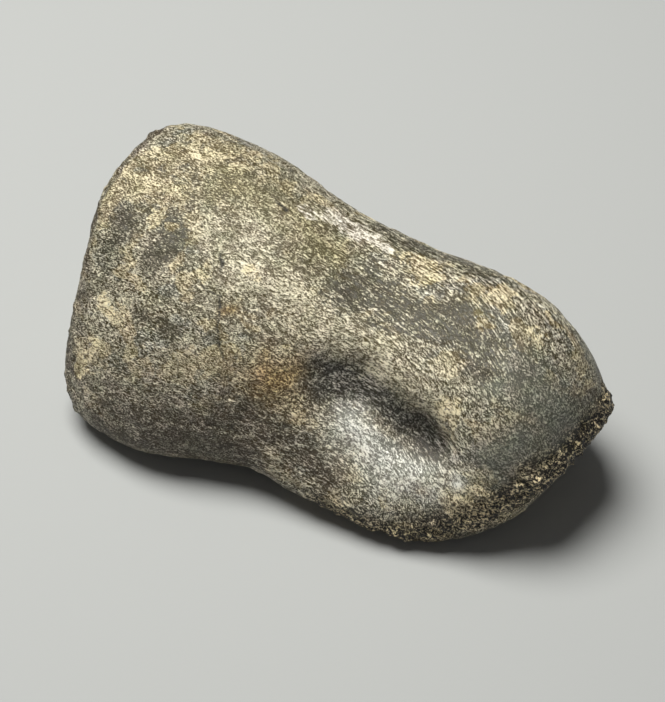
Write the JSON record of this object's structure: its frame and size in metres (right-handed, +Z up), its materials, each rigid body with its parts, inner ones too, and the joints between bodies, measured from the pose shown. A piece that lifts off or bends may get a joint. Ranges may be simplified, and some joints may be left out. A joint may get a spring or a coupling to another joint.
{
  "type": "fossil theropod toe bone",
  "caption": "Stocky fossil toe bone of a large meat-eating dinosaur, with a hollow joint socket, twin rollers and ligament pits, for display.",
  "frame": {"origin": "middle of the underside of the bone's box, on the surface that the bone lies on", "axes": "+X along the bone from the joint socket to the rollers, +Z up from the plantar side to the dorsal side, -Y towards the leaning outer flank with the wide ligament pit"},
  "size_m": [0.119, 0.0676, 0.0519],
  "materials": {
    "fossil_bone": "satin, finely grained dark grey-brown mineral with tan sediment in the grain"
  },
  "bodies": {
    "root": {"toe_bone": "fossil_bone"}
  },
  "joints": []
}
